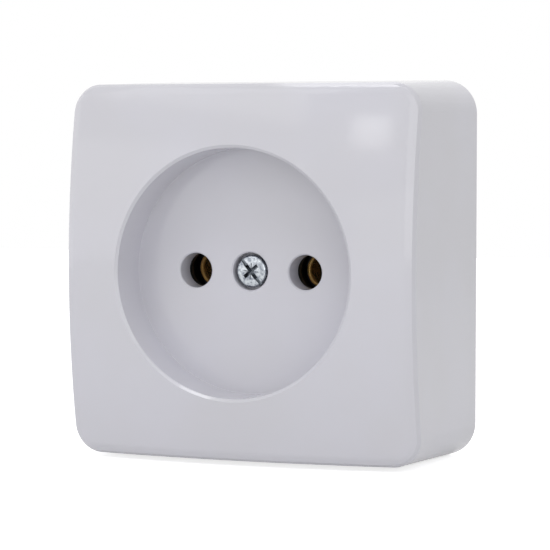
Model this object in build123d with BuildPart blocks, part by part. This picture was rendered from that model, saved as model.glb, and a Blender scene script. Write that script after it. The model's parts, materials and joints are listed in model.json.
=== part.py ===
# Surface-mounted wall socket for two round pins, with no earth contact.
# Millimetres. The origin is the centre of the back, on the wall; +Z is up and the front looks along -Y.
# A height is always a distance from the wall: height h is the plane y = -h.

import math
import os

from build123d import *

# Outside of the cover
body_width = 61.5
body_height = 61.5
corner_radius = 5.5
side_draft = 1.8
face_dome_radius = 135.0
face_roll_radius = 6.0
face_roll_overhang = 2.4
face_edge_chamfer = 0.5
cover_wall = 2.0
cover_wall_gap = 0.2
cover_inner_chamfer = 2.5
cover_rib_thickness = 1.2

# Plug well in the cover
well_rim_diameter = 39.7
well_depth = 8.0
well_draft = 1.0
well_rim_chamfer = 0.3
well_floor_chamfer = 0.8
well_wall = 1.8
well_floor_thickness = 2.0

# Holes for the pins of a plug
pin_spacing = 19.0
pin_length = 19.0
pin_diameter = 4.8
pin_hole_clearance = 0.4
pin_hole_chamfer = 0.2
pin_boss_wall = 1.3
pin_boss_clearance = 0.3
pin_tip_clearance = 0.4
pin_pocket_bottom = 1.0

# Screw that holds the cover
cover_screw_diameter = 3.0
cover_screw_tip_height = 4.1
cover_screw_head_diameter = 5.2
cover_screw_head_height = 2.0
cover_screw_head_sink = 0.3
screw_pocket_clearance = 0.45
screw_seat_thickness = 1.0
screw_boss_wall = 1.6
retainer_diameter = 6.4
retainer_thickness = 0.8
retainer_clearance = 0.5
cover_nut_size = 5.5
cover_nut_thickness = 1.8
cover_screw_engagement = 2.9

# Slot and edges of every screw
slot_width = 0.8
slot_depth = 0.7
slot_angle = 130.0
head_crown_chamfer = 0.5
screw_tip_chamfer = 0.4

# Base that is screwed to the wall
base_thickness = 2.0
base_clearance = 0.3
base_rim_wall = 1.4
base_rim_height = 5.0
wall_slot_inset = 9.25
wall_slot_length = 7.5
wall_slot_width = 4.4
wall_slot_pad_wall = 1.2
wall_slot_pad_height = 1.0
cable_entry_width = 20.0
cable_entry_height = 6.8
cable_entry_corner = 2.0
cable_entry_inset = 8.35
cable_collar_wall = 1.0
cable_collar_height = 1.5
knockout_width = 11.0
knockout_depth = 9.0
knockout_skin = 0.8
knockout_clearance = 1.0
boss_diameter = 6.2
boss_height = 7.0
boss_clearance = 0.2
nut_post_inset = 0.25
locating_rib_thickness = 1.0
locating_rib_height = 1.2
locating_rib_length = 14.0
locating_rib_clearance = 0.2
blind_hole_floor = 1.4

# Carrier of the contacts, and its cap
carrier_side_wall = 2.2
carrier_top_wall = 1.35
carrier_bottom_wall = 2.5
carrier_corner_radius = 1.5
cap_thickness = 1.8
cap_gap = 0.2
cap_entry_clearance = 0.6
cap_entry_chamfer = 0.5
lug_wall = 0.7
lower_screw_z = -10.5
contact_pocket_clearance = 0.65
strip_clearance = 0.15
screw_hole_clearance = 0.25

# Screws that hold the cap and the carrier to the base
carrier_screw_diameter = 2.9
carrier_screw_tip_height = 4.2
carrier_screw_head_diameter = 5.2
carrier_screw_head_height = 1.6
carrier_screw_head_clearance = 0.6

# Brass contacts and their spring clips
sheet = 0.8
contact_seat_depth = 4.0
jaw_grip = 0.05
jaw_wall = 0.6
jaw_cap_clearance = 2.4
jaw_slit_width = 1.2
jaw_root_length = 2.0
jaw_lead_in = 0.25
contact_ring_width = 0.9
strip_width = 5.6
clip_thickness = 0.5
clip_width = 3.0
clip_front_gap = 0.8
clip_opening = 2.4
running_clearance = 0.05

# Terminals
terminal_z = 12.5
terminal_pad = 7.6
terminal_screw_diameter = 3.5
terminal_tip_clearance = 0.3
terminal_screw_head_diameter = 5.9
terminal_screw_head_height = 2.2
terminal_nut_size = 6.0
terminal_nut_thickness = 2.4
nut_pocket_clearance = 0.15
nut_corner_chamfer = 0.4
clamp_size = 7.8
clamp_thickness = 0.8
clamp_flange_height = 1.8
clamp_bend_radius = 0.6
clamp_side_clearance = 0.4
clamp_head_clearance = 0.15
washer_outer_diameter = 5.6
washer_thickness = 0.6
washer_gap = 0.7

# Worked out from the sizes above
well_rim_r = well_rim_diameter / 2
well_floor_r = well_rim_r - well_depth * math.tan(math.radians(well_draft))
pin_pocket_floor = base_thickness + pin_pocket_bottom
well_floor_height = pin_pocket_floor + pin_tip_clearance + pin_length
well_rim_height = well_floor_height + well_depth
well_back_height = well_floor_height - well_floor_thickness
dome_centre_to_rim = math.sqrt(face_dome_radius**2 - well_rim_r**2)
dome_height = well_rim_height + face_dome_radius - dome_centre_to_rim
dome_slope_at_rim = well_rim_r / dome_centre_to_rim
draft_per_height = math.tan(math.radians(side_draft))

carrier_screw_head_space = carrier_screw_head_height + carrier_screw_head_clearance
carrier_front_height = well_back_height - carrier_screw_head_space - cap_thickness
cap_front_height = carrier_front_height + cap_thickness
pin_x = pin_spacing / 2
pin_hole_r = pin_diameter / 2 + pin_hole_clearance
pin_boss_r = pin_hole_r + pin_boss_wall
pin_boss_height = cap_front_height + pin_boss_clearance
pin_pocket_r = pin_diameter / 2 + pin_tip_clearance
cap_entry_r = pin_diameter / 2 + cap_entry_clearance

head_seat_height = well_floor_height - cover_screw_head_sink - cover_screw_head_height
screw_pocket_floor = head_seat_height - running_clearance
screw_boss_height = screw_pocket_floor - screw_seat_thickness
screw_pocket_r = cover_screw_head_diameter / 2 + screw_pocket_clearance
screw_boss_r = screw_pocket_r + screw_boss_wall
cover_screw_hole_r = cover_screw_diameter / 2 + screw_hole_clearance
retainer_front_height = screw_boss_height - running_clearance
cap_recess_floor = retainer_front_height - retainer_thickness - retainer_clearance
cover_nut_front_height = cover_screw_tip_height + cover_screw_engagement
nut_post_height = cover_nut_front_height - cover_nut_thickness

carrier_screw_hole_r = carrier_screw_diameter / 2 + screw_hole_clearance
boss_front_height = base_thickness + boss_height
boss_pocket_r = boss_diameter / 2 + boss_clearance
lug_r = boss_pocket_r + lug_wall
wall_slot_spacing = body_width - 2 * wall_slot_inset
cable_entry_z = body_height / 2 - cable_entry_inset
contact_seat_height = pin_pocket_floor + contact_seat_depth
jaw_front_height = carrier_front_height - jaw_cap_clearance
jaw_inner_r = pin_diameter / 2 - jaw_grip
jaw_outer_r = jaw_inner_r + jaw_wall
contact_ring_r = jaw_outer_r + contact_ring_width
contact_pocket_r = contact_ring_r + contact_pocket_clearance
clip_inner_r = jaw_outer_r + running_clearance
pad_front_height = contact_seat_height + sheet
clamp_back_height = pad_front_height + running_clearance
clamp_front_height = clamp_back_height + clamp_thickness
terminal_seat_height = clamp_front_height + washer_thickness + running_clearance
terminal_hole_r = terminal_screw_diameter / 2 + screw_hole_clearance
terminal_pocket_floor = contact_seat_height - terminal_nut_thickness
terminal_tip_height = pin_pocket_floor + terminal_tip_clearance
widest_on_clamp = max(terminal_screw_head_diameter, washer_outer_diameter)
clamp_lower_z = terminal_z - widest_on_clamp / 2 - clamp_head_clearance - clamp_thickness
terminal_pad_lower_z = terminal_z - terminal_pad / 2
terminal_pocket_size = terminal_nut_size + 2 * nut_pocket_clearance
chamber_width = max(clamp_size, terminal_pad) + 2 * clamp_side_clearance
chamber_bottom_z = min(clamp_lower_z, terminal_pad_lower_z) - clamp_side_clearance
cap_top_z = chamber_bottom_z - cap_gap
carrier_width = 2 * pin_x + chamber_width + 2 * carrier_side_wall
carrier_top_z = terminal_z + terminal_pocket_size / 2 + carrier_top_wall
carrier_bottom_z = -contact_pocket_r - carrier_bottom_wall


def at(height):
    """Plane parallel to the wall: X to the right, Z up and its normal to the front."""
    return Plane.XZ.offset(height)


def outline(inset):
    """Width, height and corner radius of the cover's back outline, drawn in by an inset."""
    return body_width - 2 * inset, body_height - 2 * inset, max(corner_radius - inset, 0.5)


def cut_to_dome(radius):
    """Keep only what lies under the crowned front, or under a smaller ball about its centre."""
    with Locations((0, face_dome_radius - dome_height, 0)):
        Sphere(radius, mode=Mode.INTERSECT)


def lug_outline(end_z, root_z):
    """Tongue on the centre line, with a round end about the axis of a carrier screw."""
    with Locations((0, (end_z + root_z) / 2)):
        Rectangle(2 * lug_r, abs(end_z - root_z))
    with Locations((0, end_z)):
        Circle(lug_r)


def block_outline(bottom_z, top_z):
    """Rounded rectangle of the carrier's width between two levels."""
    with Locations((0, (bottom_z + top_z) / 2)):
        RectangleRounded(carrier_width, top_z - bottom_z, carrier_corner_radius)


def make_screw(x, z, seat_height, tip_height, diameter, head_diameter, head_height):
    """Pan head screw with its shank towards the wall; the seat is the underside of its head."""
    head_front = seat_height + head_height
    with BuildPart() as screw:
        with BuildSketch(at(seat_height)):
            with Locations((x, z)):
                Circle(head_diameter / 2)
        extrude(amount=head_height)
        chamfer(screw.faces().sort_by(Axis.Y)[0].edges(), head_crown_chamfer)
        with BuildSketch(at(seat_height)):
            with Locations((x, z)):
                Circle(diameter / 2)
        extrude(amount=tip_height - seat_height)
        chamfer(screw.faces().sort_by(Axis.Y)[-1].edges(), screw_tip_chamfer)
        with BuildSketch(at(head_front)):
            with Locations(Location((x, z), slot_angle)):
                Rectangle(head_diameter, slot_width)
        extrude(amount=-slot_depth, mode=Mode.SUBTRACT)
    return screw


def make_square_nut(x, z, front_height, size, thickness, screw_diameter):
    """Square nut; its bore is plain and clears the screw that stands for its thread."""
    with BuildPart() as nut:
        with BuildSketch(at(front_height)):
            with Locations((x, z)):
                Rectangle(size, size)
                Circle(screw_diameter / 2 + running_clearance, mode=Mode.SUBTRACT)
        extrude(amount=-thickness)
        chamfer(nut.edges().filter_by(Axis.Y), nut_corner_chamfer)
    return nut


def make_contact(x):
    """Brass strip with a split round socket for the pin and a pad for the terminal."""
    with BuildPart() as contact:
        with BuildSketch(at(contact_seat_height)):
            with Locations((x, 0)):
                Circle(contact_ring_r)
            with Locations((x, terminal_z / 2)):
                Rectangle(strip_width, terminal_z)
            with Locations((x, terminal_z)):
                Rectangle(terminal_pad, terminal_pad)
                Circle(terminal_hole_r, mode=Mode.SUBTRACT)
        extrude(amount=sheet)
        with BuildSketch(at(contact_seat_height)):
            with Locations((x, 0)):
                Circle(jaw_outer_r)
        extrude(amount=jaw_front_height - contact_seat_height)
        with BuildSketch(at(contact_seat_height)):
            with Locations((x, 0)):
                Circle(jaw_inner_r)
        extrude(amount=jaw_front_height - contact_seat_height, mode=Mode.SUBTRACT)
        jaw_mouth = contact.faces().sort_by(Axis.Y)[0].edges().sort_by(SortBy.RADIUS)[0]
        chamfer(jaw_mouth, jaw_lead_in)
        with BuildSketch(at(jaw_front_height)):
            with Locations((x, 0)):
                Rectangle(jaw_slit_width, 2 * contact_ring_r)
        slit_depth = jaw_front_height - pad_front_height - jaw_root_length
        extrude(amount=-slit_depth, mode=Mode.SUBTRACT)
    return contact


def make_spring_clip(x):
    """Open steel ring around the jaws; its opening faces down, over the slit."""
    with BuildPart() as clip:
        with BuildSketch(at(jaw_front_height - clip_front_gap)):
            with Locations((x, 0)):
                Circle(clip_inner_r + clip_thickness)
                Circle(clip_inner_r, mode=Mode.SUBTRACT)
            with Locations((x, -clip_inner_r)):
                Rectangle(clip_opening, 4 * clip_thickness, mode=Mode.SUBTRACT)
        extrude(amount=-clip_width)
    return clip


def make_clamp_plate(x):
    """Plate under the terminal screw, bent up along its lower edge so that it can't turn."""
    with BuildPart() as clamp:
        with BuildSketch(Plane.YZ.offset(x)):
            with Locations((-clamp_back_height, clamp_lower_z)):
                Rectangle(clamp_thickness, clamp_size, align=(Align.MAX, Align.MIN))
                Rectangle(clamp_thickness + clamp_flange_height, clamp_thickness, align=(Align.MAX, Align.MIN))
        extrude(amount=clamp_size / 2, both=True)
        bend = clamp.edges().filter_by(Axis.X).group_by(Axis.Z)[0].sort_by(Axis.Y)[-1]
        fillet(bend, clamp_bend_radius)
        with BuildSketch(at(clamp_back_height)):
            with Locations((x, terminal_z)):
                Circle(terminal_hole_r)
        extrude(amount=clamp_thickness, mode=Mode.SUBTRACT)
    return clamp


def make_lock_washer(x):
    """Split washer between the clamp plate and the head of the terminal screw."""
    with BuildPart() as washer:
        with BuildSketch(at(clamp_front_height)):
            with Locations((x, terminal_z)):
                Circle(washer_outer_diameter / 2)
                Circle(terminal_hole_r, mode=Mode.SUBTRACT)
            with Locations((x, terminal_z + washer_outer_diameter / 2)):
                Rectangle(washer_gap, washer_outer_diameter / 2, mode=Mode.SUBTRACT)
        extrude(amount=washer_thickness)
    return washer


# Crowned front with its rolled edge, made oversize so that the sides cut it to a curved crease
with BuildPart() as rolled_front:
    with BuildSketch(at(0)):
        RectangleRounded(*outline(-face_roll_overhang))
    extrude(amount=dome_height, taper=side_draft)
    cut_to_dome(face_dome_radius)
    fillet(rolled_front.faces().sort_by(Axis.Y)[0].edges(), face_roll_radius)

# Space inside the cover, with the plug well, its bosses and the diagonal ribs left out
with BuildPart() as cover_space:
    with BuildSketch(at(0)):
        RectangleRounded(*outline(cover_wall))
    extrude(amount=dome_height, taper=side_draft)
    cut_to_dome(face_dome_radius - cover_wall)
    chamfer(cover_space.faces().sort_by(Axis.Y)[0].edges(), cover_inner_chamfer)
    with BuildSketch(at(well_back_height)):
        Circle(well_rim_r + well_wall)
        Rectangle(2 * body_width, cover_rib_thickness, rotation=45)
        Rectangle(2 * body_width, cover_rib_thickness, rotation=-45)
    extrude(amount=well_depth + well_floor_thickness, mode=Mode.SUBTRACT)
    with BuildSketch(at(pin_boss_height)):
        with Locations((-pin_x, 0), (pin_x, 0)):
            Circle(pin_boss_r)
    extrude(amount=well_back_height - pin_boss_height, mode=Mode.SUBTRACT)
    with BuildSketch(at(screw_boss_height)):
        Circle(screw_boss_r)
    extrude(amount=well_back_height - screw_boss_height, mode=Mode.SUBTRACT)

with BuildPart() as cover:
    with BuildSketch(at(cover_wall_gap)):
        RectangleRounded(*outline(0))
    extrude(amount=dome_height, taper=side_draft)
    add(rolled_front.part, mode=Mode.INTERSECT)
    side_faces = cover.faces().filter_by(lambda face: abs(face.normal_at().Y) < 2 * draft_per_height)
    chamfer(side_faces.edges().filter_by(GeomType.BSPLINE), face_edge_chamfer)
    with BuildSketch(Plane.XY):
        with BuildLine():
            Polyline(
                (0, -well_floor_height),
                (well_floor_r, -well_floor_height),
                (well_rim_r, -well_rim_height),
                (well_rim_r + well_depth, dome_slope_at_rim * well_depth - well_rim_height),
                (well_rim_r + well_depth, -well_rim_height - well_depth),
                (0, -well_rim_height - well_depth),
                close=True,
            )
        make_face()
        floor_corner, rim_corner = vertices().sort_by(Axis.X)[2:4]
        chamfer(floor_corner, well_floor_chamfer)
        chamfer(vertices().sort_by_distance(rim_corner)[0], well_rim_chamfer)
    revolve(axis=Axis.Y, mode=Mode.SUBTRACT)
    add(cover_space.part, mode=Mode.SUBTRACT)
    with BuildSketch(at(0)):
        Rectangle(knockout_width, body_height - 2 * knockout_skin)
    extrude(amount=knockout_depth, taper=side_draft, mode=Mode.SUBTRACT)
    with BuildSketch(at(well_floor_height)):
        with Locations((-pin_x, 0), (pin_x, 0)):
            Circle(pin_hole_r)
        Circle(cover_screw_hole_r)
    extrude(amount=-well_floor_height, mode=Mode.SUBTRACT)
    with BuildSketch(at(well_floor_height)):
        Circle(screw_pocket_r)
    extrude(amount=screw_pocket_floor - well_floor_height, mode=Mode.SUBTRACT)
    floor_circles = cover.faces().filter_by(Axis.Y).sort_by(Axis.Y)[0].edges().sort_by(SortBy.RADIUS)
    chamfer(floor_circles[:3], pin_hole_chamfer)

with BuildPart() as base:
    with BuildSketch(at(0)):
        RectangleRounded(*outline(cover_wall + base_clearance))
    extrude(amount=base_rim_height, taper=side_draft)
    with BuildSketch(at(base_thickness)):
        RectangleRounded(*outline(cover_wall + base_clearance + base_rim_wall))
    extrude(amount=base_rim_height, taper=side_draft, mode=Mode.SUBTRACT)
    with BuildSketch(at(base_thickness)):
        Rectangle(knockout_width + 2 * knockout_clearance, 2 * body_height)
    extrude(amount=base_rim_height, mode=Mode.SUBTRACT)
    with BuildSketch(at(base_thickness)):
        with GridLocations(wall_slot_spacing, 0, 2, 1):
            SlotOverall(wall_slot_length + 2 * wall_slot_pad_wall, wall_slot_width + 2 * wall_slot_pad_wall)
    extrude(amount=wall_slot_pad_height)
    with BuildSketch(at(base_thickness)):
        with Locations((0, cable_entry_z)):
            RectangleRounded(
                cable_entry_width + 2 * cable_collar_wall,
                cable_entry_height + 2 * cable_collar_wall,
                cable_entry_corner + cable_collar_wall,
            )
    extrude(amount=cable_collar_height)
    with BuildSketch(at(base_thickness)):
        with Locations((0, (carrier_bottom_z + carrier_top_z) / 2)):
            with GridLocations(carrier_width + 2 * locating_rib_clearance + locating_rib_thickness, 0, 2, 1):
                Rectangle(locating_rib_thickness, locating_rib_length)
    extrude(amount=locating_rib_height)
    with BuildSketch(at(0)):
        with GridLocations(wall_slot_spacing, 0, 2, 1):
            SlotOverall(wall_slot_length, wall_slot_width)
        with Locations((0, cable_entry_z)):
            RectangleRounded(cable_entry_width, cable_entry_height, cable_entry_corner)
    extrude(amount=base_rim_height, mode=Mode.SUBTRACT)
    with BuildSketch(at(base_thickness)):
        with Locations((0, terminal_z), (0, lower_screw_z)):
            Circle(boss_diameter / 2)
    extrude(amount=boss_height)
    with BuildSketch(at(base_thickness)):
        Circle(cover_nut_size / 2 - nut_post_inset)
    extrude(amount=nut_post_height - base_thickness)
    with BuildSketch(at(blind_hole_floor)):
        with Locations((0, terminal_z), (0, lower_screw_z)):
            Circle(carrier_screw_diameter / 2 + running_clearance)
        Circle(cover_screw_hole_r)
    extrude(amount=boss_front_height, mode=Mode.SUBTRACT)

with BuildPart() as contact_carrier:
    with BuildSketch(at(base_thickness)):
        block_outline(carrier_bottom_z, carrier_top_z)
        lug_outline(lower_screw_z, 0)
    extrude(amount=carrier_front_height - base_thickness)
    with BuildSketch(at(contact_seat_height)):
        with Locations((-pin_x, 0), (pin_x, 0)):
            Circle(contact_pocket_r)
        with Locations((-pin_x, terminal_z / 2), (pin_x, terminal_z / 2)):
            Rectangle(strip_width + 2 * strip_clearance, terminal_z)
        with Locations((-pin_x, chamber_bottom_z), (pin_x, chamber_bottom_z)):
            Rectangle(chamber_width, carrier_top_z, align=(Align.CENTER, Align.MIN))
    extrude(amount=carrier_front_height, mode=Mode.SUBTRACT)
    with BuildSketch(at(contact_seat_height)):
        with Locations((-pin_x, terminal_z), (pin_x, terminal_z)):
            Rectangle(terminal_pocket_size, terminal_pocket_size)
    extrude(amount=terminal_pocket_floor - contact_seat_height, mode=Mode.SUBTRACT)
    with BuildSketch(at(pin_pocket_floor)):
        with Locations((-pin_x, terminal_z), (pin_x, terminal_z)):
            Circle(terminal_hole_r)
        with Locations((-pin_x, 0), (pin_x, 0)):
            Circle(pin_pocket_r)
    extrude(amount=contact_seat_height - pin_pocket_floor, mode=Mode.SUBTRACT)
    with BuildSketch(at(base_thickness)):
        with Locations((0, terminal_z), (0, lower_screw_z)):
            Circle(boss_pocket_r)
    extrude(amount=boss_height + boss_clearance, mode=Mode.SUBTRACT)
    with BuildSketch(at(base_thickness)):
        cover_nut_pocket = cover_nut_size + 2 * nut_pocket_clearance
        Rectangle(cover_nut_pocket, cover_nut_pocket)
    extrude(amount=cover_nut_front_height - base_thickness, mode=Mode.SUBTRACT)
    with BuildSketch(at(base_thickness)):
        with Locations((0, terminal_z), (0, lower_screw_z)):
            Circle(carrier_screw_hole_r)
        Circle(cover_screw_hole_r)
    extrude(amount=carrier_front_height, mode=Mode.SUBTRACT)

with BuildPart() as contact_cap:
    with BuildSketch(at(carrier_front_height)):
        block_outline(carrier_bottom_z, cap_top_z)
        lug_outline(lower_screw_z, 0)
        lug_outline(terminal_z, 0)
    extrude(amount=cap_thickness)
    with BuildSketch(at(carrier_front_height)):
        with Locations((-pin_x, cap_top_z), (pin_x, cap_top_z)):
            foot_depth = (cap_top_z - contact_pocket_r) / 2
            Rectangle(strip_width, foot_depth, align=(Align.CENTER, Align.MAX))
    extrude(amount=pad_front_height + strip_clearance - carrier_front_height)
    with BuildSketch(at(cap_front_height)):
        with Locations((-pin_x, 0), (pin_x, 0)):
            Circle(cap_entry_r)
        with Locations((0, terminal_z), (0, lower_screw_z)):
            Circle(carrier_screw_hole_r)
        Circle(cover_screw_hole_r)
    extrude(amount=-cap_thickness, mode=Mode.SUBTRACT)
    entry_edges = contact_cap.faces().sort_by(Axis.Y)[0].edges().filter_by(GeomType.CIRCLE)
    chamfer(entry_edges.sort_by(SortBy.RADIUS)[-4:-2], cap_entry_chamfer)
    with BuildSketch(at(cap_front_height)):
        Circle(retainer_diameter / 2 + retainer_clearance)
    extrude(amount=cap_recess_floor - cap_front_height, mode=Mode.SUBTRACT)

with BuildPart() as screw_retainer:
    with BuildSketch(at(retainer_front_height)):
        Circle(retainer_diameter / 2)
        Circle(cover_screw_diameter / 2, mode=Mode.SUBTRACT)
    extrude(amount=-retainer_thickness)

pieces = {
    "cover": cover,
    "base": base,
    "contact_carrier": contact_carrier,
    "contact_cap": contact_cap,
    "screw_retainer": screw_retainer,
    "cover_screw": make_screw(
        0,
        0,
        head_seat_height,
        cover_screw_tip_height,
        cover_screw_diameter,
        cover_screw_head_diameter,
        cover_screw_head_height,
    ),
    "cover_nut": make_square_nut(
        0, 0, cover_nut_front_height, cover_nut_size, cover_nut_thickness, cover_screw_diameter
    ),
}
for name, z in (("carrier_screw_upper", terminal_z), ("carrier_screw_lower", lower_screw_z)):
    pieces[name] = make_screw(
        0,
        z,
        cap_front_height,
        carrier_screw_tip_height,
        carrier_screw_diameter,
        carrier_screw_head_diameter,
        carrier_screw_head_height,
    )
for side, x in (("left", -pin_x), ("right", pin_x)):
    pieces[f"contact_{side}"] = make_contact(x)
    pieces[f"spring_clip_{side}"] = make_spring_clip(x)
    pieces[f"clamp_plate_{side}"] = make_clamp_plate(x)
    pieces[f"lock_washer_{side}"] = make_lock_washer(x)
    pieces[f"terminal_screw_{side}"] = make_screw(
        x,
        terminal_z,
        terminal_seat_height,
        terminal_tip_height,
        terminal_screw_diameter,
        terminal_screw_head_diameter,
        terminal_screw_head_height,
    )
    pieces[f"terminal_nut_{side}"] = make_square_nut(
        x,
        terminal_z,
        contact_seat_height,
        terminal_nut_size,
        terminal_nut_thickness,
        terminal_screw_diameter,
    )

os.makedirs("parts", exist_ok=True)
for name, piece in pieces.items():
    piece.part.label = name
    export_step(piece.part, f"parts/{name}.step")
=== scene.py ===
import json
import math

import bpy
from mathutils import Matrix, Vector


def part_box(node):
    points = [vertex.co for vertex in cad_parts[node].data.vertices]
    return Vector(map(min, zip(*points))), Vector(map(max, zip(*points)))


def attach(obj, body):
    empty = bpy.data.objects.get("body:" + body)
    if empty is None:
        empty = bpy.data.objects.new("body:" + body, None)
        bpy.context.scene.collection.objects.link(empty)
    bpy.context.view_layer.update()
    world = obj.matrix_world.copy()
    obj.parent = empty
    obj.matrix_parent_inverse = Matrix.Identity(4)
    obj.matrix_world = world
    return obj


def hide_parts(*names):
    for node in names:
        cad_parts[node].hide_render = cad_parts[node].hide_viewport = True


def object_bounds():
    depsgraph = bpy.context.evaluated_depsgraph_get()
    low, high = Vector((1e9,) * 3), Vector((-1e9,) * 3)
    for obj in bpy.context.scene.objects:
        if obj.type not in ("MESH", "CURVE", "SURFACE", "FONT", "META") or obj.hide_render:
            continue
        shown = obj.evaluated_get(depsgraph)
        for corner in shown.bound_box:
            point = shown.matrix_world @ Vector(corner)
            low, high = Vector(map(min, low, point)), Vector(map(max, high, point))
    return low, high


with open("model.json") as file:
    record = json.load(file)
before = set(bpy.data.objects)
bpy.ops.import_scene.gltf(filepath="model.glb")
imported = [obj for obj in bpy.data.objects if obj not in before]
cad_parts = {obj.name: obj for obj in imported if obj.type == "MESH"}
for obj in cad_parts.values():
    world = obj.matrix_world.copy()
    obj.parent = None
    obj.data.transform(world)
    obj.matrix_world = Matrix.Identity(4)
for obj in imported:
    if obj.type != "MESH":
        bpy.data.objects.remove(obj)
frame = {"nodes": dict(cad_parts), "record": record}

# Lengths are in metres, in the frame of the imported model: +Z up, the front looks along -Y.
MM = 0.001
nodes = frame["nodes"]
cad_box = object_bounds()

# Camera, as it was fitted to the photograph
CAMERA_AIM = Vector((0.0, -22.4 * MM, 0.0))
CAMERA_AZIMUTH = math.radians(22.95)
CAMERA_ELEVATION = math.radians(3.04)
CAMERA_DISTANCE = 407 * MM
CAMERA_LENS = 166.44
CAMERA_SHIFT = (0.0455, -0.0065)

# Ball of the crowned front
DOME_RADIUS = 135 * MM
DOME_CENTRE = Vector((0.0, 103.13 * MM, 0.0))

# Sides of the cover
COVER_HALF_WIDTH = 30.75 * MM
COVER_DRAFT = math.radians(1.8)
COVER_CORNER_REACH = 38.0 * MM

# Plug well of the cover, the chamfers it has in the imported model, and how far its edges are rounded here
WELL_RIM_RADIUS = 19.85 * MM
WELL_RIM_HEIGHT = 30.4 * MM
WELL_FLOOR_HEIGHT = 22.4 * MM
WELL_DRAFT = math.radians(1.0)
RIM_CHAMFER = 0.3 * MM
FLOOR_CHAMFER = 0.8 * MM
RIM_ROUNDING = 0.45 * MM
CORNER_ROUNDING = 0.05 * MM
CREASE_ROUNDING = 0.2 * MM
HOLE_ROUNDING = 0.07 * MM
HOLES_REACH = 14.0 * MM

# Finishes
COVER_COLOUR = (0.625, 0.621, 0.676, 1.0)
COVER_SHADE = (0.612, 0.607, 0.650, 1.0)
BASE_COLOUR = (0.580, 0.576, 0.612, 1.0)
CARRIER_COLOUR = (0.012, 0.012, 0.013, 1.0)
BRASS_COLOUR = (0.85, 0.52, 0.17, 1.0)
BRASS_TARNISH = (0.62, 0.34, 0.10, 1.0)
ZINC_COLOUR = (0.52, 0.55, 0.58, 1.0)
ZINC_DULL = (0.20, 0.22, 0.26, 1.0)
# Painted shade: dark colour put in the slot and cross recess of the screws, where shade falls
RECESS_PAINTED_SHADE = (0.15, 0.165, 0.185, 1.0)
SPRING_COLOUR = (0.10, 0.105, 0.12, 1.0)
NYLON_COLOUR = (0.72, 0.70, 0.64, 1.0)

# Joining and smoothing of the copies
JOIN_DISTANCE = 0.0005 * MM
FLAT_ANGLE = math.radians(0.4)
SHARP_ANGLE = math.radians(20.0)

# Width of the rounded edges of each piece, in millimetres
ROUNDED_EDGES = {
    "base": 0.2,
    "contact_carrier": 0.2,
    "contact_cap": 0.2,
    "contact_left": 0.08,
    "contact_right": 0.08,
    "spring_clip_left": 0.08,
    "spring_clip_right": 0.08,
    "clamp_plate_left": 0.12,
    "clamp_plate_right": 0.12,
    "lock_washer_left": 0.08,
    "lock_washer_right": 0.08,
    "terminal_nut_left": 0.12,
    "terminal_nut_right": 0.12,
    "cover_nut": 0.12,
    "screw_retainer": 0.08,
}

# Shank diameter, head height, thread pitch and slot angle of each screw, in millimetres and degrees
SCREW_SIZES = {
    "cover_screw": (3.0, 2.0, 0.5, 130.0),
    "carrier_screw_upper": (2.9, 1.6, 1.1, 20.0),
    "carrier_screw_lower": (2.9, 1.6, 1.1, 75.0),
    "terminal_screw_left": (3.5, 2.2, 0.6, 100.0),
    "terminal_screw_right": (3.5, 2.2, 0.6, 160.0),
}

# Screw heads and threads: share of the pitch from the crest to the core, and the sizes of the recess
THREAD_DEPTH = 0.55
RIDGE_RADIUS = 0.62
RIDGE_FLATNESS = 0.7
HEAD_CROWN = 0.12 * MM
HEAD_ROUNDING = 0.5 * MM
NECK_LENGTH = 1.9 * MM
SLOT_WIDTH = 0.5 * MM
SLOT_DEPTH = 0.55 * MM
CROSS_LENGTH = 3.7 * MM
CROSS_WIDTH = 0.78 * MM
CROSS_DEPTH = 1.35 * MM
TICK_LENGTH = 3.2 * MM
TICK_WIDTH = 0.16 * MM
TICK_DEPTH = 0.26 * MM

# Studio: level of the even light, and azimuth, elevation and distance, width, height and power of each lamp
WORLD_LEVEL = 0.42
SOFTBOXES = {
    "overhead_softbox": ((-32.0, 35.5, 0.9), 0.62, 0.44, 0.84),
    "window_softbox": ((0.2, 19.9, 1.0), 0.105, 0.087, 0.08),
    "right_softbox": ((46.0, 19.0, 1.0), 1.2, 0.7, 2.5),
    "front_softbox": ((22.0, -4.0, 1.0), 0.9, 0.5, 0.6),
    "left_softbox": ((-35.0, 7.0, 1.0), 0.9, 0.3, 0.55),
    "left_side_softbox": ((-78.0, 12.0, 1.0), 0.7, 0.6, 1.0),
    "top_softbox": ((10.0, 80.0, 0.8), 0.7, 0.7, 1.35),
    "roof_window": ((-12.0, 62.5, 0.8), 0.24, 0.2, 0.64),
    "back_softbox": ((180.0, 52.0, 1.2), 0.9, 0.5, 1.8),
}
FLOOR_SIZE = 1.3
FLOOR_GAP = 0.02 * MM
FLOOR_GLOW_SEEN = 0.74
FLOOR_GLOW_MIRRORED = 0.4


def add_node(tree, kind, **settings):
    """A node of this kind with its properties set by name."""
    node = tree.nodes.new(kind)
    for name, value in settings.items():
        setattr(node, name, value)
    return node


def start_group(name, inputs, outputs):
    """An empty shader node group with named float inputs and outputs."""
    tree = bpy.data.node_groups.new(name, "ShaderNodeTree")
    for label, default in inputs:
        socket = tree.interface.new_socket(label, in_out="INPUT", socket_type="NodeSocketFloat")
        socket.default_value = default
    for label in outputs:
        tree.interface.new_socket(label, in_out="OUTPUT", socket_type="NodeSocketFloat")
    entry = tree.nodes.new("NodeGroupInput")
    result = tree.nodes.new("NodeGroupOutput")
    place = tree.nodes.new("ShaderNodeTexCoord")
    return tree, entry, result, place.outputs["Object"]


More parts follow.
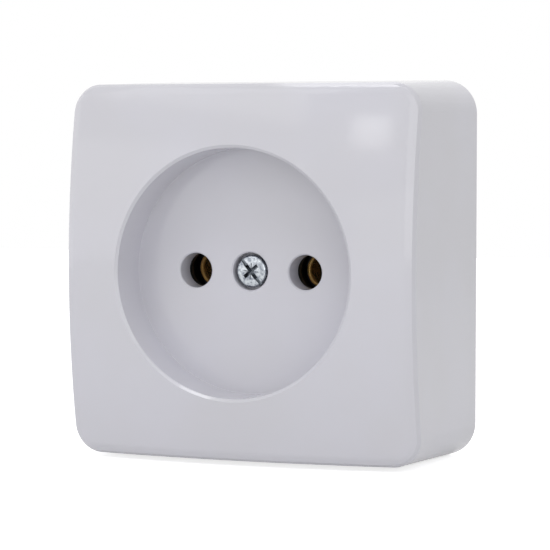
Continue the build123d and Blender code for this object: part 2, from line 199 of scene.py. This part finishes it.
def noise(tree, place, scale, detail, roughness=0.5):
    """Noise over the object's own coordinates; its scale is a number or a socket."""
    node = add_node(tree, "ShaderNodeTexNoise")
    tree.links.new(place, node.inputs["Vector"])
    if isinstance(scale, (int, float)):
        node.inputs["Scale"].default_value = scale
    else:
        tree.links.new(scale, node.inputs["Scale"])
    node.inputs["Detail"].default_value = detail
    node.inputs["Roughness"].default_value = roughness
    return node.outputs["Fac"]


def band(tree, source, low, high, new_low=0.0, new_high=1.0):
    """Source from low to high, spread smoothly from new_low to new_high."""
    node = add_node(tree, "ShaderNodeMapRange", interpolation_type="SMOOTHSTEP")
    tree.links.new(source, node.inputs["Value"])
    node.inputs["From Min"].default_value = low
    node.inputs["From Max"].default_value = high
    node.inputs["To Min"].default_value = new_low
    node.inputs["To Max"].default_value = new_high
    return node.outputs["Result"]


def combine(tree, operation, first, second):
    """Two values put together by a Math node; either may be a number."""
    node = add_node(tree, "ShaderNodeMath", operation=operation)
    for socket, item in zip(node.inputs, (first, second)):
        if isinstance(item, (int, float)):
            socket.default_value = item
        else:
            tree.links.new(item, socket)
    return node.outputs["Value"]


def moulded_skin_group():
    """Fine grain, faint flow and handling marks of moulded plastic."""
    tree, entry, result, place = start_group(
        "moulded skin", [("Grain Scale", 5200.0), ("Flow Scale", 55.0)], ["Height", "Tone", "Handling"]
    )
    grain = noise(tree, place, entry.outputs["Grain Scale"], 2.0)
    flow = noise(tree, place, entry.outputs["Flow Scale"], 2.0)
    tree.links.new(combine(tree, "ADD", combine(tree, "MULTIPLY", grain, 0.35), flow), result.inputs["Height"])
    tree.links.new(band(tree, flow, 0.3, 0.7), result.inputs["Tone"])
    rubbed = noise(tree, place, 130.0, 5.0, 0.62)
    tree.links.new(band(tree, rubbed, 0.42, 0.68), result.inputs["Handling"])
    return tree


def worked_metal_group():
    """Fine scratches, blotches and plating grain of a stamped or turned metal piece."""
    tree, entry, result, place = start_group(
        "worked metal", [("Blotch Scale", 700.0), ("Scratch Scale", 9000.0)], ["Height", "Blotch", "Scratch"]
    )
    blotch = noise(tree, place, entry.outputs["Blotch Scale"], 4.0, 0.6)
    tree.links.new(band(tree, blotch, 0.38, 0.66), result.inputs["Blotch"])
    stretch = add_node(tree, "ShaderNodeMapping")
    stretch.inputs["Scale"].default_value = (1.0, 0.12, 0.35)
    stretch.inputs["Rotation"].default_value = (0.3, 0.2, 0.5)
    tree.links.new(place, stretch.inputs["Vector"])
    scratch = noise(tree, stretch.outputs["Vector"], entry.outputs["Scratch Scale"], 3.0, 0.7)
    marked = band(tree, scratch, 0.5, 0.62)
    tree.links.new(marked, result.inputs["Scratch"])
    grain = noise(tree, place, 14000.0, 2.0)
    tree.links.new(combine(tree, "ADD", grain, combine(tree, "MULTIPLY", marked, 0.6)), result.inputs["Height"])
    return tree


moulded_skin = moulded_skin_group()
worked_metal = worked_metal_group()


def start_material(name, metallic=0.0):
    """A material with a lone Principled shader, its constants set on its own sockets."""
    material = bpy.data.materials.new(name)
    material.use_nodes = True
    tree = material.node_tree
    tree.nodes.clear()
    shader = tree.nodes.new("ShaderNodeBsdfPrincipled")
    output = tree.nodes.new("ShaderNodeOutputMaterial")
    tree.links.new(shader.outputs["BSDF"], output.inputs["Surface"])
    shader.inputs["Metallic"].default_value = metallic
    return material, tree, shader


def use_group(tree, group, **values):
    """The group placed in a material; a value is named as its socket, with an underscore for each space."""
    node = add_node(tree, "ShaderNodeGroup", node_tree=group)
    for name, value in values.items():
        node.inputs[name.replace("_", " ")].default_value = value
    return node


def paint(tree, shader, mask, first, second):
    """Base colour that goes from the first to the second by a mask."""
    mix = add_node(tree, "ShaderNodeMix", data_type="RGBA")
    tree.links.new(mask, mix.inputs["Factor"])
    mix.inputs["A"].default_value = first
    mix.inputs["B"].default_value = second
    tree.links.new(mix.outputs["Result"], shader.inputs["Base Color"])
    return mix.outputs["Result"]


def emboss(tree, shader, height, depth):
    """Bump of a given depth in metres."""
    bump = add_node(tree, "ShaderNodeBump")
    bump.inputs["Strength"].default_value = 1.0
    bump.inputs["Distance"].default_value = depth
    tree.links.new(height, bump.inputs["Height"])
    tree.links.new(bump.outputs["Normal"], shader.inputs["Normal"])


def plastic(name, colour, shade, gloss, dull, grain_depth):
    """Moulded plastic: gloss is its lowest roughness and dull its highest."""
    material, tree, shader = start_material(name)
    skin = use_group(tree, moulded_skin)
    paint(tree, shader, skin.outputs["Tone"], colour, shade)
    roughness = band(tree, skin.outputs["Handling"], 0.0, 1.0, gloss, dull)
    tree.links.new(roughness, shader.inputs["Roughness"])
    emboss(tree, shader, skin.outputs["Height"], grain_depth)
    return material


def metal(name, bright, dull_colour, polished, rough, depth, blotch_scale=700.0, metallic=1.0):
    """Bare or plated metal with blotches and fine scratches, and painted shade in the slot and cross recess of
    a screw.
    """
    material, tree, shader = start_material(name, metallic=metallic)
    surface = use_group(tree, worked_metal, Blotch_Scale=blotch_scale)
    coloured = paint(tree, shader, surface.outputs["Blotch"], bright, dull_colour)
    # Painted shade: the base colour turns dark where the mesh marks a screw's slot or cross recess
    recess_painted_shade = add_node(tree, "ShaderNodeAttribute", attribute_name="recess_painted_shade")
    shaded = add_node(tree, "ShaderNodeMix", data_type="RGBA")
    tree.links.new(recess_painted_shade.outputs["Fac"], shaded.inputs["Factor"])
    tree.links.new(coloured, shaded.inputs["A"])
    shaded.inputs["B"].default_value = RECESS_PAINTED_SHADE
    tree.links.new(shaded.outputs["Result"], shader.inputs["Base Color"])
    worn = combine(tree, "MULTIPLY", surface.outputs["Scratch"], 0.5)
    mask = combine(tree, "MAXIMUM", surface.outputs["Blotch"], worn)
    tree.links.new(band(tree, mask, 0.0, 1.0, polished, rough), shader.inputs["Roughness"])
    emboss(tree, shader, surface.outputs["Height"], depth)
    return material


finishes = {
    "cover_plastic": plastic("pale_cover_plastic", COVER_COLOUR, COVER_SHADE, 0.09, 0.12, 0.0012 * MM),
    "base_plastic": plastic("pale_base_plastic", BASE_COLOUR, COVER_SHADE, 0.42, 0.52, 0.01 * MM),
    "carrier_plastic": plastic("black_carrier_plastic", CARRIER_COLOUR, CARRIER_COLOUR, 0.4, 0.6, 0.02 * MM),
    "contact_brass": metal("stamped_brass", BRASS_COLOUR, BRASS_TARNISH, 0.22, 0.42, 0.004 * MM, 700.0, 0.55),
    "spring_steel": metal("blued_spring_steel", SPRING_COLOUR, SPRING_COLOUR, 0.25, 0.4, 0.003 * MM),
    "plated_steel": metal("zinc_plated_steel", ZINC_COLOUR, ZINC_DULL, 0.18, 0.36, 0.004 * MM, 1500.0),
    "nylon": plastic("natural_nylon", NYLON_COLOUR, NYLON_COLOUR, 0.4, 0.5, 0.01 * MM),
}

slot_of = {entry["node"]: entry["material_slot"] for entry in frame["record"]["subparts"]}
body_of = {node: body for body, members in frame["record"]["behaviour"]["bodies"].items() for node in members}


def dress_nodes():
    """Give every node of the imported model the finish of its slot."""
    for name, node in nodes.items():
        node.data.materials.clear()
        node.data.materials.append(finishes[slot_of[name]])


def deselect_all():
    """Nothing selected, in object mode."""
    if bpy.context.object and bpy.context.object.mode != "OBJECT":
        bpy.ops.object.mode_set(mode="OBJECT")
    bpy.ops.object.select_all(action="DESELECT")


def make_active(piece):
    """This piece alone selected and active."""
    deselect_all()
    piece.select_set(True)
    bpy.context.view_layer.objects.active = piece


def apply_modifier(piece, kind, **settings):
    """Add a modifier, set it up and apply it."""
    make_active(piece)
    modifier = piece.modifiers.new(kind.lower(), kind)
    for name, value in settings.items():
        setattr(modifier, name, value)
    bpy.ops.object.modifier_apply(modifier=modifier.name)


def hand_over(piece, node):
    """Let a finished piece stand for a node: same body, same slot and same finish."""
    piece.data.materials.clear()
    piece.data.materials.append(finishes[slot_of[node]])
    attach(piece, body_of[node])
    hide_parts(node)


def round_edges(piece, width, segments=2, sharp_angle=40.0):
    """Round every edge that turns by more than an angle."""
    apply_modifier(
        piece,
        "BEVEL",
        width=width,
        segments=segments,
        limit_method="ANGLE",
        angle_limit=math.radians(sharp_angle),
        use_clamp_overlap=True,
    )


def smooth_faces(piece, angle):
    """Smooth round faces whose flat neighbours stay flat."""
    make_active(piece)
    bpy.ops.object.shade_smooth_by_angle(angle=math.radians(angle))
    apply_modifier(piece, "WEIGHTED_NORMAL", mode="FACE_AREA", weight=50, keep_sharp=True)


def joined_copy(node, name):
    """Copy of a node with its loose faces joined and its flat faces made whole."""
    piece = nodes[node].copy()
    piece.data = nodes[node].data.copy()
    piece.name = name
    piece.parent = None
    bpy.context.scene.collection.objects.link(piece)
    piece.hide_render = False
    make_active(piece)
    bpy.ops.object.mode_set(mode="EDIT")
    bpy.ops.mesh.select_all(action="SELECT")
    bpy.ops.mesh.remove_doubles(threshold=JOIN_DISTANCE)
    bpy.ops.mesh.customdata_custom_splitnormals_clear()
    bpy.ops.mesh.dissolve_limited(angle_limit=FLAT_ANGLE)
    bpy.ops.object.mode_set(mode="OBJECT")
    return piece


def finish_edges(node, name, edge_width):
    """Copy of a node with joined faces, rounded edges and smooth round faces."""
    piece = joined_copy(node, name)
    round_edges(piece, edge_width)
    smooth_faces(piece, 32.0)
    hand_over(piece, node)


def well_place(vertex):
    """Distance of a vertex from the axis of the well, and its height above the wall."""
    return math.hypot(vertex.co.x, vertex.co.z), -vertex.co.y


def select_ring(shell, radius, height, slack=0.05 * MM):
    """In edit mode, select the vertices of one ring round the well."""
    bpy.ops.object.mode_set(mode="EDIT")
    bpy.ops.mesh.select_mode(type="VERT")
    bpy.ops.mesh.select_all(action="DESELECT")
    bpy.ops.object.mode_set(mode="OBJECT")
    count = 0
    for vertex in shell.data.vertices:
        r, h = well_place(vertex)
        vertex.select = abs(r - radius) < slack and abs(h - height) < slack
        count += vertex.select
    bpy.ops.object.mode_set(mode="EDIT")
    return count


def move_ring(shell, start, end):
    """Move one ring round the well from a radius and height to another."""
    if not select_ring(shell, *start):
        raise ValueError("no ring of the well at %.3f, %.3f mm" % (start[0] / MM, start[1] / MM))
    scale = end[0] / start[0]
    bpy.ops.transform.resize(value=(scale, 1.0, scale), center_override=(0.0, 0.0, 0.0))
    bpy.ops.transform.translate(value=(0.0, start[1] - end[1], 0.0))
    bpy.ops.object.mode_set(mode="OBJECT")


def bevel_sharp(shell, test, offset, segments):
    """Round the sharp edges whose two ends pass a test of their place."""
    make_active(shell)
    bpy.ops.object.mode_set(mode="EDIT")
    bpy.ops.mesh.select_mode(type="EDGE")
    bpy.ops.mesh.select_all(action="DESELECT")
    bpy.ops.mesh.edges_select_sharp(sharpness=SHARP_ANGLE)
    bpy.ops.object.mode_set(mode="OBJECT")
    vertices = shell.data.vertices
    for edge in shell.data.edges:
        edge.select = edge.select and all(test(vertices[index]) for index in edge.vertices)
    bpy.ops.object.mode_set(mode="EDIT")
    bpy.ops.mesh.bevel(offset=offset, segments=segments, profile=0.5, affect="EDGES", clamp_overlap=True)
    bpy.ops.object.mode_set(mode="OBJECT")


def wall_radius(height):
    """Radius of the well's drafted wall at a height above the wall of the room."""
    return WELL_RIM_RADIUS - (WELL_RIM_HEIGHT - height) * math.tan(WELL_DRAFT)


def dome_height(radius):
    """Height of the crowned front at a distance from the axis of the well."""
    return math.sqrt(DOME_RADIUS**2 - radius**2) - DOME_CENTRE.y


def front_ring(width):
    """Radius and height of the ring on the crowned front at a distance outside the rim."""
    radius = WELL_RIM_RADIUS + width
    return radius, dome_height(radius)


def wall_ring(height):
    """Radius and height of the ring on the well's wall at a height."""
    return wall_radius(height), height


def floor_ring(width):
    """Radius and height of the ring on the well's floor at a distance inside its corner."""
    return wall_radius(WELL_FLOOR_HEIGHT) - width, WELL_FLOOR_HEIGHT


def near_rim(vertex):
    """Whether a vertex lies on the edges of the rim."""
    radius, height = well_place(vertex)
    return 19.5 * MM < radius < 21.5 * MM and height > 28.5 * MM


def near_floor_corner(vertex):
    """Whether a vertex lies on the edges of the corner between floor and wall."""
    radius, height = well_place(vertex)
    return 18.6 * MM < radius < 19.9 * MM and 22.3 * MM < height < 23.5 * MM


def on_outside(vertex):
    """Whether a vertex of the cover lies near its outer side."""
    radius, height = well_place(vertex)
    side = COVER_HALF_WIDTH - height * math.tan(COVER_DRAFT)
    return max(abs(vertex.co.x), abs(vertex.co.z)) > side - 1.6 * MM or radius > COVER_CORNER_REACH


def near_crease(vertex):
    """Whether a vertex lies on the crease between the front and the sides."""
    radius, height = well_place(vertex)
    return 25.0 * MM < radius < 50.0 * MM and height > 18.0 * MM and on_outside(vertex)


def near_holes(vertex):
    """Whether a vertex lies on the mouth of a hole in the well's floor."""
    radius, height = well_place(vertex)
    return 0.0 < radius < HOLES_REACH and height > 22.1 * MM


def finish_cover():
    """Cover with a rounded rim and a tight floor corner in its well, and a rounded crease round the front."""
    shell = joined_copy("cover", "cover_shell")
    rim, floor = WELL_RIM_HEIGHT, WELL_FLOOR_HEIGHT
    move_ring(shell, front_ring(RIM_CHAMFER), front_ring(RIM_ROUNDING))
    move_ring(shell, wall_ring(rim - RIM_CHAMFER), wall_ring(rim - RIM_ROUNDING))
    move_ring(shell, wall_ring(floor + FLOOR_CHAMFER), wall_ring(floor + CORNER_ROUNDING))
    move_ring(shell, floor_ring(FLOOR_CHAMFER), floor_ring(CORNER_ROUNDING))
    bevel_sharp(shell, near_rim, 0.62 * RIM_ROUNDING, 4)
    bevel_sharp(shell, near_floor_corner, 0.42 * CORNER_ROUNDING, 3)
    bevel_sharp(shell, near_crease, CREASE_ROUNDING, 3)
    bevel_sharp(shell, near_holes, HOLE_ROUNDING, 2)
    smooth_faces(shell, 28.0)
    true_up_dome(shell)
    hand_over(shell, "cover")


def true_up_dome(shell):
    """Give the crowned front the normals of its ball, so that reflections run evenly over its facets."""
    mesh = shell.data
    normals = [Vector(corner.vector) for corner in mesh.corner_normals]
    for loop in mesh.loops:
        spoke = mesh.vertices[loop.vertex_index].co - DOME_CENTRE
        on_ball = abs(spoke.length - DOME_RADIUS) < 0.03 * MM
        if on_ball and spoke.normalized().dot(normals[loop.index]) > math.cos(math.radians(12.0)):
            normals[loop.index] = spoke.normalized()
    mesh.normals_split_custom_set(normals)


def settle(piece):
    """Bring a piece's own place, turn and scale into its mesh."""
    make_active(piece)
    bpy.ops.object.transform_apply(location=True, rotation=True, scale=True)


def cut_away(piece, cutter):
    """Take the cutter's shape out of a piece and remove the cutter."""
    settle(cutter)
    apply_modifier(piece, "BOOLEAN", object=cutter, operation="DIFFERENCE", solver="EXACT")
    bpy.data.objects.remove(cutter)


def select_faces(piece, test):
    """In edit mode, select the faces that pass a test of their place or normal."""
    bpy.ops.object.mode_set(mode="EDIT")
    bpy.ops.mesh.select_mode(type="FACE")
    bpy.ops.mesh.select_all(action="DESELECT")
    bpy.ops.object.mode_set(mode="OBJECT")
    for face in piece.data.polygons:
        face.select = test(face)
    bpy.ops.object.mode_set(mode="EDIT")


def turned_bar(place, length, width, depth, angle, narrowing=1.0):
    """Bar across a screw head, turned about the screw's axis; its deep end may be narrower than its mouth."""
    x, front, z = place
    deselect_all()
    bpy.ops.mesh.primitive_cube_add(size=1.0, location=(x, front, z))
    bar = bpy.context.object
    bar.scale = (length, 2 * depth, width)
    bar.rotation_euler = (0.0, -math.radians(angle), 0.0)
    select_faces(bar, lambda face: face.normal.y > 0.9)
    bpy.ops.transform.resize(value=(narrowing, 1.0, narrowing))
    bpy.ops.object.mode_set(mode="OBJECT")
    return bar


def add_rod(x, z, radius, front, back, sides=48):
    """Rod along the screw's axis between two places on Y."""
    deselect_all()
    bpy.ops.mesh.primitive_cylinder_add(
        vertices=sides,
        radius=radius,
        depth=back - front,
        location=(x, (front + back) / 2, z),
        rotation=(math.radians(90.0), 0.0, 0.0),
    )
    rod = bpy.context.object
    settle(rod)
    return rod


def bevel_end(rod, faces_front, offset, segments):
    """Round or chamfer the rim at one end of a rod."""
    direction = -1.0 if faces_front else 1.0
    make_active(rod)
    select_faces(rod, lambda face: face.normal.y * direction > 0.9)
    bpy.ops.mesh.region_to_loop()
    bpy.ops.mesh.bevel(offset=offset, segments=segments, profile=0.5, affect="EDGES")
    bpy.ops.object.mode_set(mode="OBJECT")


def add_thread(x, z, radius, pitch, front, back):
    """Helical ridge round the shank, its crest at the screw's own radius."""
    turns = int((back - front) / pitch) - 1
    deselect_all()
    bpy.ops.mesh.primitive_circle_add(vertices=4, radius=RIDGE_RADIUS * pitch, fill_type="NOTHING")
    ridge = bpy.context.object
    bpy.ops.object.mode_set(mode="EDIT")
    bpy.ops.mesh.select_all(action="SELECT")
    bpy.ops.transform.rotate(value=math.radians(90.0), orient_axis="X", center_override=(0.0, 0.0, 0.0))
    bpy.ops.transform.resize(value=(1.0, 1.0, RIDGE_FLATNESS))
    bpy.ops.transform.translate(value=(radius - RIDGE_RADIUS * pitch, 0.0, 0.0))
    bpy.ops.object.mode_set(mode="OBJECT")
    apply_modifier(
        ridge,
        "SCREW",
        axis="Z",
        angle=math.radians(360.0),
        screw_offset=pitch,
        iterations=turns,
        steps=28,
        render_steps=28,
        use_merge_vertices=True,
    )
    bpy.ops.object.mode_set(mode="EDIT")
    bpy.ops.mesh.select_all(action="SELECT")
    bpy.ops.mesh.fill_holes(sides=4)
    bpy.ops.mesh.normals_make_consistent(inside=False)
    bpy.ops.object.mode_set(mode="OBJECT")
    ridge.location = (x, back - pitch, z)
    ridge.rotation_euler = (math.radians(90.0), 0.0, 0.0)
    settle(ridge)
    return ridge


def mark_painted_recess_shade(head, front, back, radius, x, z, slot_angle):
    """Note on the mesh which vertices lie down in the slot or the cross of a screw head, where the metal gets
    painted shade.
    """
    turn = math.radians(slot_angle)
    marks = head.data.attributes.new("recess_painted_shade", "FLOAT", "POINT")
    for vertex in head.data.vertices:
        right, up = vertex.co.x - x, vertex.co.z - z
        in_cross = math.hypot(right, up) < radius
        in_slot = abs(up * math.cos(turn) - right * math.sin(turn)) < SLOT_WIDTH / 2 + 0.02 * MM
        marks.data[vertex.index].value = float((in_cross or in_slot) and front < vertex.co.y < back)


def model_screw(node, shank_diameter, head_height, pitch, slot_angle):
    """Pan head screw with a slot and cross recess, a plain neck and a rolled thread."""
    low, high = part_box(node)
    x, z = (low.x + high.x) / 2, (low.z + high.z) / 2
    head_radius = (high.x - low.x) / 2
    radius = shank_diameter / 2 * MM
    seat = low.y + head_height * MM
    neck_end = seat + NECK_LENGTH
    core_radius = radius - THREAD_DEPTH * pitch * MM

    head = add_rod(x, z, head_radius, low.y + HEAD_CROWN, seat, 72)
    bevel_end(head, True, HEAD_ROUNDING, 6)
    select_faces(head, lambda face: face.normal.y < -0.999)
    for inward, forward in ((0.45, 0.07), (0.6, 0.04), (0.6, 0.01)):
        bpy.ops.mesh.inset(thickness=inward * MM)
        bpy.ops.transform.translate(value=(0.0, -forward * MM, 0.0))
    bpy.ops.object.mode_set(mode="OBJECT")
    top = (x, low.y, z)
    cut_away(head, turned_bar(top, 3 * head_radius, SLOT_WIDTH, SLOT_DEPTH, slot_angle))
    for quarter in (0.0, 90.0):
        angle = slot_angle + quarter
        cut_away(head, turned_bar(top, CROSS_LENGTH, CROSS_WIDTH, CROSS_DEPTH, angle, 0.6))
        cut_away(head, turned_bar(top, TICK_LENGTH, TICK_WIDTH, TICK_DEPTH, angle + 45.0, 0.7))
    # Marks the slot and cross that get painted shade
    mark_painted_recess_shade(head, low.y + 0.2 * MM, seat - 0.1 * MM, head_radius - 0.25 * MM, x, z, slot_angle)
    round_edges(head, 0.04 * MM, 2, 35.0)

    neck = add_rod(x, z, radius, seat - 0.2 * MM, neck_end)
    core = add_rod(x, z, core_radius, neck_end - 0.2 * MM, high.y)
    bevel_end(core, False, 0.35 * MM, 2)
    ridge = add_thread(x, z, radius, pitch * MM, neck_end - 0.5 * pitch * MM, high.y)
    make_active(head)
    for part in (neck, core, ridge):
        part.select_set(True)
    bpy.ops.object.join()
    screw = bpy.context.object
    screw.name = node + "_modelled"
    smooth_faces(screw, 32.0)
    hand_over(screw, node)


def add_floor():
    """Plain pale floor under the socket, white where the camera sees it, with its soft shadow kept."""
    bpy.ops.object.select_all(action="DESELECT")
    lowest = cad_box[0].z
    bpy.ops.mesh.primitive_plane_add(size=FLOOR_SIZE, location=(0.0, 0.0, lowest - FLOOR_GAP))
    floor = bpy.context.object
    floor.name = "floor"
    material, tree, shader = start_material("pale_floor")
    shader.inputs["Base Color"].default_value = (0.8, 0.8, 0.8, 1.0)
    shader.inputs["Roughness"].default_value = 0.9
    shader.inputs["Emission Color"].default_value = (1.0, 1.0, 1.0, 1.0)
    path = add_node(tree, "ShaderNodeLightPath")
    seen = combine(tree, "MULTIPLY", path.outputs["Is Camera Ray"], FLOOR_GLOW_SEEN)
    mirrored = combine(tree, "MULTIPLY", path.outputs["Is Glossy Ray"], FLOOR_GLOW_MIRRORED)
    tree.links.new(combine(tree, "MAXIMUM", seen, mirrored), shader.inputs["Emission Strength"])
    floor.data.materials.append(material)


def seen_ray(tree):
    """One for camera, glossy and transmission rays, and nought for the rest."""
    path = add_node(tree, "ShaderNodeLightPath")
    seen = combine(tree, "MAXIMUM", path.outputs["Is Camera Ray"], path.outputs["Is Glossy Ray"])
    return combine(tree, "MAXIMUM", seen, path.outputs["Is Transmission Ray"])


def light_world(level):
    """Even light from all round, and plain white where it is seen or mirrored."""
    world = bpy.data.worlds.new("studio")
    bpy.context.scene.world = world
    world.use_nodes = True
    tree = world.node_tree
    tree.nodes.clear()
    even = add_node(tree, "ShaderNodeBackground")
    even.inputs["Color"].default_value = (1.0, 1.0, 1.0, 1.0)
    even.inputs["Strength"].default_value = level
    white = add_node(tree, "ShaderNodeBackground")
    white.inputs["Color"].default_value = (1.0, 1.0, 1.0, 1.0)
    white.inputs["Strength"].default_value = 1.0
    choose = add_node(tree, "ShaderNodeMixShader")
    output = add_node(tree, "ShaderNodeOutputWorld")
    tree.links.new(seen_ray(tree), choose.inputs[0])
    tree.links.new(even.outputs["Background"], choose.inputs[1])
    tree.links.new(white.outputs["Background"], choose.inputs[2])
    tree.links.new(choose.outputs["Shader"], output.inputs["Surface"])


def add_softbox(name, direction, width, height, power):
    """Rectangular lamp that faces the cover; its direction is an azimuth, an elevation and a distance."""
    azimuth, elevation, distance = math.radians(direction[0]), math.radians(direction[1]), direction[2]
    flat = math.cos(elevation)
    away = Vector((math.sin(azimuth) * flat, -math.cos(azimuth) * flat, math.sin(elevation)))
    lamp = bpy.data.lights.new(name, "AREA")
    lamp.shape = "RECTANGLE"
    lamp.size = width
    lamp.size_y = height
    lamp.energy = power
    holder = bpy.data.objects.new(name, lamp)
    holder.location = CAMERA_AIM + away * distance
    holder.rotation_euler = (-away).to_track_quat("-Z", "Y").to_euler()
    bpy.context.scene.collection.objects.link(holder)


def add_camera():
    """Camera at the photograph's viewing angle."""
    lens = bpy.data.cameras.new("photograph")
    lens.lens = CAMERA_LENS
    lens.sensor_width = 36.0
    lens.shift_x, lens.shift_y = CAMERA_SHIFT
    lens.clip_start = 0.01
    holder = bpy.data.objects.new("photograph", lens)
    flat = math.cos(CAMERA_ELEVATION)
    back = Vector((
        math.sin(CAMERA_AZIMUTH) * flat,
        -math.cos(CAMERA_AZIMUTH) * flat,
        math.sin(CAMERA_ELEVATION),
    ))
    holder.location = CAMERA_AIM + back * CAMERA_DISTANCE
    holder.rotation_euler = (-back).to_track_quat("-Z", "Y").to_euler()
    bpy.context.scene.collection.objects.link(holder)
    bpy.context.scene.camera = holder


dress_nodes()
finish_cover()
for node, width in ROUNDED_EDGES.items():
    finish_edges(node, node + "_finished", width * MM)
for node, sizes in SCREW_SIZES.items():
    model_screw(node, *sizes)
add_floor()
light_world(WORLD_LEVEL)
for lamp, (direction, width, height, power) in SOFTBOXES.items():
    add_softbox(lamp, direction, width, height, power)
add_camera()
bpy.context.scene.view_settings.view_transform = "Standard"
